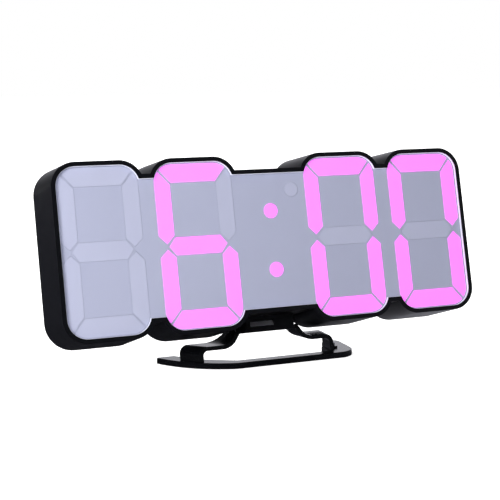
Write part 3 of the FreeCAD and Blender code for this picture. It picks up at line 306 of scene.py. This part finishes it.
# Lamps: small moulded packages soldered to the board behind each segment. The phosphor in their
# sunk windows tints them a pale yellow.
LAMP_RIM = 0.45 * MM
LAMP_DISH = 0.15 * MM
LAMP_ROUNDING = 0.08 * MM
lamp_white = surface("Lamp package with phosphor", colour="#E9E2B8", second="#EFE9CC", roughness=0.3,
                     grain=0.3 * MM, relief=0.004 * MM, sockets={"IOR": 1.5})
lamps = copy_of_node("segment_lamps", "lamp_packages")
select_faces(lamps, faces_viewer)
bpy.ops.mesh.inset(thickness=LAMP_RIM, depth=0.0, use_individual=True)
bpy.ops.transform.translate(value=OUT * LAMP_DISH)
bpy.ops.object.mode_set(mode="OBJECT")
round_edges(lamps, LAMP_ROUNDING, segments=1)
finish_piece(lamps, lamp_white, "clock", ["segment_lamps"])

# Chips, buzzer, sensor, switches and headers: black epoxy and moulded nylon, soldered to the two
# boards, with the slightly chalky face that a transfer mould leaves.
epoxy = surface("Transfer-moulded black epoxy", colour="#17181A", second="#1C1D1F", roughness=0.5,
                grain=0.25 * MM, relief=0.006 * MM, sockets={"IOR": 1.5})
for node, name, rounding_mm in (
    ("microcontroller", "controller_chip", 0.2), ("lamp_drivers", "driver_chips", 0.2),
    ("alarm_buzzer", "buzzer_can", 0.35), ("temperature_sensor", "sensor_bead", 0.15),
    ("button_switches", "push_switches", 0.2), ("switch_board_headers", "board_headers", 0.2),
):
    eased_copy(node, name, rounding_mm * MM, epoxy, segments=2)

# Crystal and coin cell: steel cans drawn from sheet, with rolled edges. The bright nickel plating
# mirrors what is around them.
bright_nickel = surface("Bright nickel-plated steel", colour="#B9B9BC", second="#C4C4C8", roughness=0.2,
                        grain=0.4 * MM, relief=0.001 * MM, sockets={"Metallic": 1.0})
for node, name, rounding_mm in (("clock_crystal", "crystal_can", 0.4),
                                ("coin_cell", "coin_cell_can", 0.35)):
    eased_copy(node, name, rounding_mm * MM, bright_nickel, segments=4)

# Capacitors: aluminium cans in a dark blue polymer sleeve, which is shrunk over their ends and
# shines a little.
CAPACITOR_ROUNDING = 0.5 * MM
sleeve = surface("Shrunk polymer sleeve", colour="#12162C", second="#161B34", roughness=0.28,
                 grain=0.8 * MM, relief=0.004 * MM, sockets={"Coat Weight": 0.2, "Coat Roughness": 0.1})
eased_copy("power_capacitors", "capacitor_cans", CAPACITOR_ROUNDING, sleeve, segments=4)

# Spring contacts: phosphor bronze strip, nickel plated to a warm grey and bent to press on the
# coin cell.
CONTACT_ROUNDING = 0.1 * MM
plated_strip = surface("Nickel-plated spring strip", colour="#B8B2A2", second="#C2BCAC", roughness=0.26,
                       grain=0.3 * MM, relief=0.002 * MM, sockets={"Metallic": 1.0})
for node, name in (("cell_minus_contact", "minus_strip"), ("cell_plus_contact", "plus_strip")):
    eased_copy(node, name, CONTACT_ROUNDING, plated_strip, segments=2)

# Rear cover: flat ABS moulding inside the case's back edge, spark textured against fingerprints,
# with keyholes, vents and the wells for the buttons and the coin cell.
COVER_ROUNDING = 0.2 * MM
cover_abs = surface("Spark-textured ABS", colour="#0F1013", second="#131417", roughness=0.58,
                    grain=0.45 * MM, relief=0.05 * MM,
                    sockets={"IOR": ABS_IOR, "Specular IOR Level": 0.35})
eased_copy("rear_cover", "rear_cover_moulding", COVER_ROUNDING, cover_abs, segments=2)

# Moulded marks on the cover: a raised ring for the setting key, a rising and a falling arrow, and
# two pips that show where the coin-cell door opens and locks. They are moulded with the cover and
# hot stamped with a pale grey foil.
FACE_MIDDLE = (0, -15.456 * MM, 63.225 * MM)
COVER_FACE = 30.5 * MM
MARK_HEIGHT = 0.35 * MM
MARK_MIDDLE = COVER_FACE + 0.3 * MARK_HEIGHT
MARK_SLOPE = 0.25 * MM
MARK_ROUNDING = 0.06 * MM
ARROW_RADIUS = 1.5 * MM
# Each mark's place is its x and z on the upright clock.
SET_MARK = (50 * MM, -8 * MM)
UP_MARK = (62 * MM, -8 * MM)
DOWN_MARK = (74 * MM, -8 * MM)
LOCKED_MARK = (-62 * MM, 2.2 * MM)
OPEN_MARK = (-48 * MM, -5.9 * MM)
pale_foil = surface("Pale grey stamped foil", colour="#8D9096", second="#979AA0", roughness=0.45,
                    grain=0.3 * MM, relief=0.004 * MM, sockets={"IOR": 1.5})


def add_primitive(name, operator, **sizes):
    """Adds one primitive with nothing else selected, and names it."""
    bpy.ops.object.select_all(action="DESELECT")
    operator(**sizes)
    piece = bpy.context.active_object
    piece.name = name
    return piece


def lean_back(piece):
    """Moves a piece made on an upright clock, whose face is at y = 0, onto the leaning clock."""
    only(piece)
    bpy.ops.object.transform_apply(location=True, rotation=True, scale=True)
    piece.rotation_euler = (-LEAN, 0, 0)
    piece.location = FACE_MIDDLE
    bpy.ops.object.transform_apply(location=True, rotation=True, scale=True)


def raised_mark(name, place, radius, sides, turn, body="clock"):
    """A low moulded mark with sloping sides on the back of the case, turned by degrees."""
    mark = add_primitive(name, bpy.ops.mesh.primitive_cone_add, vertices=sides, radius1=radius,
                         radius2=radius - MARK_SLOPE, depth=MARK_HEIGHT,
                         location=(place[0], MARK_MIDDLE, place[1]),
                         rotation=(math.radians(-90), math.radians(turn), 0))
    lean_back(mark)
    round_edges(mark, MARK_ROUNDING, segments=2, sharper_than=20)
    finish_piece(mark, pale_foil, body, [])


raised_mark("mark_up_arrow", UP_MARK, ARROW_RADIUS, sides=3, turn=180)
raised_mark("mark_down_arrow", DOWN_MARK, ARROW_RADIUS, sides=3, turn=0)
set_ring = add_primitive("mark_set_ring", bpy.ops.mesh.primitive_torus_add, major_radius=1.2 * MM,
                         minor_radius=0.3 * MM, major_segments=40, minor_segments=10,
                         location=(SET_MARK[0], COVER_FACE, SET_MARK[1]),
                         rotation=(math.radians(90), 0, 0))
lean_back(set_ring)
bpy.ops.object.shade_smooth_by_angle(angle=math.radians(60))
finish_piece(set_ring, pale_foil, "clock", [])
raised_mark("mark_door_locked", LOCKED_MARK, radius=1.1 * MM, sides=24, turn=0)
raised_mark("mark_door_open", OPEN_MARK, radius=0.7 * MM, sides=24, turn=0)

# Push buttons: three satin ABS keys with a shallow dish for the fingertip. A flange behind the
# cover keeps each one in its hole.
DISH_RIM = 0.7 * MM
DISH_SLOPE = 0.5 * MM
DISH_DEPTH = 0.25 * MM
TIP_DEPTH = 0.1 * MM
KEY_ROUNDING = 0.2 * MM
key_abs = surface("Satin key ABS", colour="#1A1B1F", second="#1F2024", roughness=0.4, grain=0.5 * MM,
                  relief=0.01 * MM, sockets={"IOR": ABS_IOR})


def dish_tip(key):
    """Sinks a dish into the outermost face of a key."""
    tip = max(face.center.dot(OUT) for face in key.data.polygons)
    select_faces(key, lambda face: (face.normal.dot(OUT) > ALONG_OUT
                                    and face.center.dot(OUT) > tip - TIP_DEPTH))
    bpy.ops.mesh.inset(thickness=DISH_RIM, depth=0.0)
    bpy.ops.mesh.inset(thickness=DISH_SLOPE, depth=-DISH_DEPTH)
    bpy.ops.object.mode_set(mode="OBJECT")


for node in ("set_button", "up_button", "down_button"):
    key = copy_of_node(node, f"{node}_key")
    dish_tip(key)
    round_edges(key, KEY_ROUNDING, sharper_than=25)
    finish_piece(key, key_abs, node, [node])

# Coin-cell door: a quarter-turn disc of the cover's textured ABS, with a slot for a coin and a
# pale pointer moulded at its edge.
DOOR_ROUNDING = 0.2 * MM
POINTER_PLACE = (-62 * MM, -5.0 * MM)
POINTER_RADIUS = 1.3 * MM
eased_copy("battery_door", "coin_door", DOOR_ROUNDING, cover_abs, body="battery_door",
           segments=2)
raised_mark("door_pointer", POINTER_PLACE, POINTER_RADIUS, sides=3, turn=180, body="battery_door")

# Power inlet: a barrel socket moulded in black nylon and held in the cover, with a plated sleeve
# and a plated centre pin inside its bore.
INLET_ROUNDING = 0.2 * MM
PIN_PLACE = (0, 25.6 * MM, 8 * MM)
PIN_ROUNDING = 0.25 * MM
SLEEVE_PLACE = (0, 26.2 * MM, 8 * MM)
SLEEVE_WALL = 0.2 * MM
ALONG_BORE = (math.radians(90), 0, 0)
eased_copy("power_inlet", "inlet_body", INLET_ROUNDING, epoxy, segments=2)
pin = add_primitive("inlet_centre_pin", bpy.ops.mesh.primitive_cylinder_add, vertices=28,
                    radius=0.55 * MM, depth=8.0 * MM, location=PIN_PLACE, rotation=ALONG_BORE)
lean_back(pin)
round_edges(pin, PIN_ROUNDING, segments=4)
finish_piece(pin, plated_strip, "clock", [])
inlet_sleeve = add_primitive("inlet_sleeve", bpy.ops.mesh.primitive_cylinder_add, vertices=48,
                             radius=1.74 * MM, depth=7.5 * MM, end_fill_type="NOTHING",
                             location=SLEEVE_PLACE, rotation=ALONG_BORE)
lean_back(inlet_sleeve)
wall = inlet_sleeve.modifiers.new("Wall", "SOLIDIFY")
wall.thickness = SLEEVE_WALL
wall.offset = -1
bpy.ops.object.modifier_apply(modifier=wall.name)
bpy.ops.object.shade_smooth_by_angle(angle=math.radians(40))
finish_piece(inlet_sleeve, plated_strip, "clock", [])

# Screws: zinc-plated steel with eased heads and a cross recess for the driver. Four hold the
# cover, eight hold the board to the light boxes, and two short ones hold the feet of the stand.
CROSS_LONG = 2.0 * MM
CROSS_WIDE = 0.5 * MM
CROSS_DEEP = 0.7 * MM
HEAD_ROUNDING = 0.25 * MM
COVER_SCREWS = [(x * MM, COVER_FACE, z * MM) for x in (-103.2, 103.2) for z in (-22, 22)]
BOARD_SCREWS = [(x * MM, 12.6 * MM, z * MM) for x in (-85.4, -38.7, 38.7, 85.4) for z in (-17.35, 17.35)]
FOOT_SCREWS = [(-36.26 * MM, 0.35 * MM, 5.5 * MM), (37.5 * MM, -2.72 * MM, 5.5 * MM)]
zinc = surface("Zinc-plated steel", colour="#8E8F92", second="#9C9DA0", roughness=0.3, grain=0.2 * MM,
               relief=0.002 * MM, sockets={"Metallic": 1.0})


def cross_recess(piece, spots, upright):
    """Cuts a cross recess into the screw head at each spot."""
    arms = []
    for spot in spots:
        for across, along in ((CROSS_LONG, CROSS_WIDE), (CROSS_WIDE, CROSS_LONG)):
            size = (across, along, 2 * CROSS_DEEP) if upright else (across, 2 * CROSS_DEEP, along)
            arms.append(add_primitive("recess_arm", bpy.ops.mesh.primitive_cube_add, size=1.0,
                                      location=spot, scale=size))
    only(arms[0])
    for arm in arms:
        arm.select_set(True)
    bpy.ops.object.join()
    cutter = bpy.context.active_object
    if not upright:
        lean_back(cutter)
    only(cutter)
    bpy.ops.object.transform_apply(location=True, rotation=True, scale=True)
    only(piece)
    recess = piece.modifiers.new("Recess", "BOOLEAN")
    recess.operation = "DIFFERENCE"
    recess.solver = "EXACT"
    recess.use_self = True
    recess.object = cutter
    bpy.ops.object.modifier_apply(modifier=recess.name)
    bpy.data.objects.remove(cutter)


for node, name, spots, upright, body in (
    ("case_screws", "cover_screws", COVER_SCREWS, False, "clock"),
    ("board_screws", "light_box_screws", BOARD_SCREWS, False, "clock"),
    ("stand_leg_screws", "foot_screws", FOOT_SCREWS, True, "stand"),
):
    screws = copy_of_node(node, name)
    round_edges(screws, HEAD_ROUNDING)
    cross_recess(screws, spots, upright)
    finish_piece(screws, zinc, body, [node])

# Stand socket: an ABS block moulded under the bridge, with a slot for each tab. A strip of bright
# spring steel lies in its front recess and shows as a pale line.
SOCKET_ROUNDING = 0.3 * MM
LATCH_ROUNDING = 0.12 * MM
LATCH_PLACE = (-4.2 * MM, 18.0 * MM, -39.6 * MM)
LATCH_SIZE = (12.2 * MM, 0.5 * MM, 2.5 * MM)
LATCH_TILT = math.radians(-28)
eased_copy("stand_socket", "socket_block", SOCKET_ROUNDING, case_abs)
latch_steel = surface("Bright spring steel", colour="#9A9CA4", second="#A4A6AE", roughness=0.38,
                      grain=0.5 * MM, relief=0.003 * MM, sockets={"Metallic": 0.7})
latch = add_primitive("latch_strip", bpy.ops.mesh.primitive_cube_add, size=1.0, location=LATCH_PLACE,
                      rotation=(LATCH_TILT, 0, 0), scale=LATCH_SIZE)
lean_back(latch)
round_edges(latch, LATCH_ROUNDING, segments=2)
finish_piece(latch, latch_steel, "clock", [])

# Stand: two steel strips bent in an S and screwed to a flat plate cut from sheet, all powder
# coated satin black. The coat lies thin on the edges, and its tops mirror the bright room softly.
STAND_ROUNDING = 0.3 * MM
stand_coat = surface("Satin powder coat on steel", colour="#07080B", second="#0A0B0E", roughness=0.21,
                     grain=0.5 * MM, relief=0.003 * MM, sockets={"IOR": 1.5})
for node, name in (("stand_base", "stand_plate"), ("left_stand_leg", "left_strip"),
                   ("right_stand_leg", "right_strip")):
    eased_copy(node, name, STAND_ROUNDING, stand_coat, body="stand")

# Floor: a plain white studio sweep. The camera sees it white, and it keeps the clock's soft
# shadow. In other rays it is a plain pale surface.
FLOOR_WIDTH = 6.0
FLOOR_SEEN_GLOW = 0.78
WHITE = linear("#FFFFFF")
floor = add_primitive("studio_floor", bpy.ops.mesh.primitive_plane_add, size=FLOOR_WIDTH,
                      location=(0, 0, 0))
floor_paint = with_empty_nodes(bpy.data.materials.new("White studio floor"))
floor_white = add_node(floor_paint, "ShaderNodeBsdfDiffuse", {"Color": linear("#E7E7E7")})
floor_glow = add_node(floor_paint, "ShaderNodeEmission", {"Color": WHITE, "Strength": FLOOR_SEEN_GLOW})
floor_seen = add_node(floor_paint, "ShaderNodeLightPath")
floor_both = add_node(floor_paint, "ShaderNodeAddShader", links={
    0: floor_white.outputs["BSDF"], 1: floor_glow.outputs["Emission"]})
floor_mix = add_node(floor_paint, "ShaderNodeMixShader", links={
    0: floor_seen.outputs["Is Camera Ray"], 1: floor_white.outputs["BSDF"],
    2: floor_both.outputs["Shader"]})
add_node(floor_paint, "ShaderNodeOutputMaterial", links={"Surface": floor_mix.outputs["Shader"]})
floor.data.materials.append(floor_paint)

# Painted reflection shade: a dark sheet on the floor around the clock, met only by reflections, paints
# shade into the sides and the underside of the case in place of the floor's white. The painted shade pales
# towards the right.
SHADE_SHEET_MIDDLE = (0, 0.2, 0.3 * MM)
SHADE_SHEET_SIZE = (2.4, 2.2, 1.0)
PALING_WAY = (1.0, 0.15, 0.0)
PALING_START = 0.02
PALING_END = 0.16
shade_sheet = add_primitive("reflection_shade_sheet", bpy.ops.mesh.primitive_plane_add, size=1.0,
                            location=SHADE_SHEET_MIDDLE)
shade_sheet.scale = SHADE_SHEET_SIZE
shade_sheet_paint = with_empty_nodes(bpy.data.materials.new("Painted reflection shade sheet"))
shade_sheet_place = add_node(shade_sheet_paint, "ShaderNodeNewGeometry")
shade_sheet_way = add_node(shade_sheet_paint, "ShaderNodeVectorMath", {1: PALING_WAY},
                     {0: shade_sheet_place.outputs["Position"]}, operation="DOT_PRODUCT")
shade_sheet_fade = add_node(shade_sheet_paint, "ShaderNodeMapRange", {"From Min": PALING_START, "From Max": PALING_END},
                      {"Value": shade_sheet_way.outputs["Value"]})
# Painted reflection shade: dark on the left, paling to near white towards the right.
shade_sheet_tone = add_node(shade_sheet_paint, "ShaderNodeMix", {FIRST: linear("#38383F"), SECOND: linear("#EDEDF9")},
                      {FACTOR: shade_sheet_fade.outputs["Result"]}, data_type="RGBA")
shade_sheet_dark = add_node(shade_sheet_paint, "ShaderNodeBsdfDiffuse", links={"Color": shade_sheet_tone.outputs[MIXED]})
shade_sheet_clear = add_node(shade_sheet_paint, "ShaderNodeBsdfTransparent")
shade_sheet_seen = add_node(shade_sheet_paint, "ShaderNodeLightPath")
shade_sheet_mix = add_node(shade_sheet_paint, "ShaderNodeMixShader", links={
    0: shade_sheet_seen.outputs["Is Glossy Ray"], 1: shade_sheet_clear.outputs["BSDF"], 2: shade_sheet_dark.outputs["BSDF"]})
add_node(shade_sheet_paint, "ShaderNodeOutputMaterial", links={"Surface": shade_sheet_mix.outputs["Shader"]})
shade_sheet.data.materials.append(shade_sheet_paint)

# Room: an even soft light. It is white to the camera. In mirrored rays it is bright back and to
# the right and dim elsewhere, as in a studio with one white wall.
ROOM_STRENGTH = 0.3
SEEN_STRENGTH = 1.0
WALL_WAY = (0.8, 0.6, 0.0)
WALL_START = 0.4
WALL_END = 0.8
DIM_STRENGTH = 0.06
WALL_STRENGTH = 1.3
world = with_empty_nodes(bpy.data.worlds.new("Studio room"))
bpy.context.scene.world = world
room_light = add_node(world, "ShaderNodeBackground", {"Color": WHITE, "Strength": ROOM_STRENGTH})
room_white = add_node(world, "ShaderNodeBackground", {"Color": WHITE, "Strength": SEEN_STRENGTH})
room_seen = add_node(world, "ShaderNodeLightPath")
room_place = add_node(world, "ShaderNodeTexCoord")
to_wall = add_node(world, "ShaderNodeVectorMath", {1: WALL_WAY}, {0: room_place.outputs["Generated"]},
                   operation="DOT_PRODUCT")
wall_light = add_node(world, "ShaderNodeMapRange",
                      {"From Min": WALL_START, "From Max": WALL_END, "To Min": DIM_STRENGTH,
                       "To Max": WALL_STRENGTH},
                      {"Value": to_wall.outputs["Value"]})
room_wall = add_node(world, "ShaderNodeBackground", {"Color": linear("#F7F7FF")},
                     {"Strength": wall_light.outputs["Result"]})
room_gloss = add_node(world, "ShaderNodeMixShader", links={
    0: room_seen.outputs["Is Glossy Ray"], 1: room_light.outputs["Background"],
    2: room_wall.outputs["Background"]})
white_rays = add_node(world, "ShaderNodeMath", operation="MAXIMUM", links={
    0: room_seen.outputs["Is Camera Ray"], 1: room_seen.outputs["Is Transmission Ray"]})
room_mix = add_node(world, "ShaderNodeMixShader", links={
    0: white_rays.outputs["Value"], 1: room_gloss.outputs["Shader"], 2: room_white.outputs["Background"]})
add_node(world, "ShaderNodeOutputWorld", links={"Surface": room_mix.outputs["Shader"]})

# Lights: four softboxes on stands. All but the fill stay out of mirrored rays, so that no hard
# patch of light lies on the window or the case.
CLOCK_MIDDLE = (0, 0, 0.06)
CLOCK_BACK = (0, 0, 0.05)


def softbox(name, place, aim, size, watts, mirrored=False):
    """One rectangular studio light turned to a point. Mirrored says if glossy parts show it."""
    light = bpy.data.lights.new(name, "AREA")
    light.shape = "RECTANGLE"
    light.size, light.size_y = size
    light.energy = watts
    lamp = bpy.data.objects.new(name, light)
    bpy.context.collection.objects.link(lamp)
    lamp.location = place
    lamp.visible_camera = False
    lamp.visible_glossy = mirrored
    lamp.rotation_euler = (Vector(aim) - Vector(place)).to_track_quat("-Z", "Y").to_euler()


softbox("Key softbox", (-0.5, -0.42, 0.3), CLOCK_MIDDLE, size=(0.3, 0.3), watts=4.3)
softbox("Fill softbox", (1.2, -0.3, 0.6), CLOCK_MIDDLE, size=(0.6, 0.6), watts=3.0, mirrored=True)
softbox("Top softbox", (0.0, 0.5, 1.0), CLOCK_BACK, size=(0.8, 0.6), watts=4.0)
softbox("Back softbox", (-0.6, 1.2, 0.9), CLOCK_BACK, size=(0.8, 0.6), watts=28.0)

# Camera: at the photograph's place, a little above the clock and to its left, with its lens and
# angles from the fit to the photograph's outline.
CAMERA_PLACE = (-0.22684, -0.54271, 0.15728)
CAMERA_DOWN = math.radians(9.81)
CAMERA_RIGHT = math.radians(22.06)
LENS_MM = 86.2
SENSOR_MM = 36.0
NEAREST_SEEN = 0.01
camera_data = bpy.data.cameras.new("Photo camera")
camera_data.lens = LENS_MM
camera_data.sensor_width = SENSOR_MM
camera_data.clip_start = NEAREST_SEEN
camera = bpy.data.objects.new("Photo camera", camera_data)
bpy.context.collection.objects.link(camera)
camera.location = CAMERA_PLACE
camera.rotation_euler = (math.radians(90) - CAMERA_DOWN, 0, -CAMERA_RIGHT)
bpy.context.scene.camera = camera
bpy.context.scene.view_settings.view_transform = "Standard"
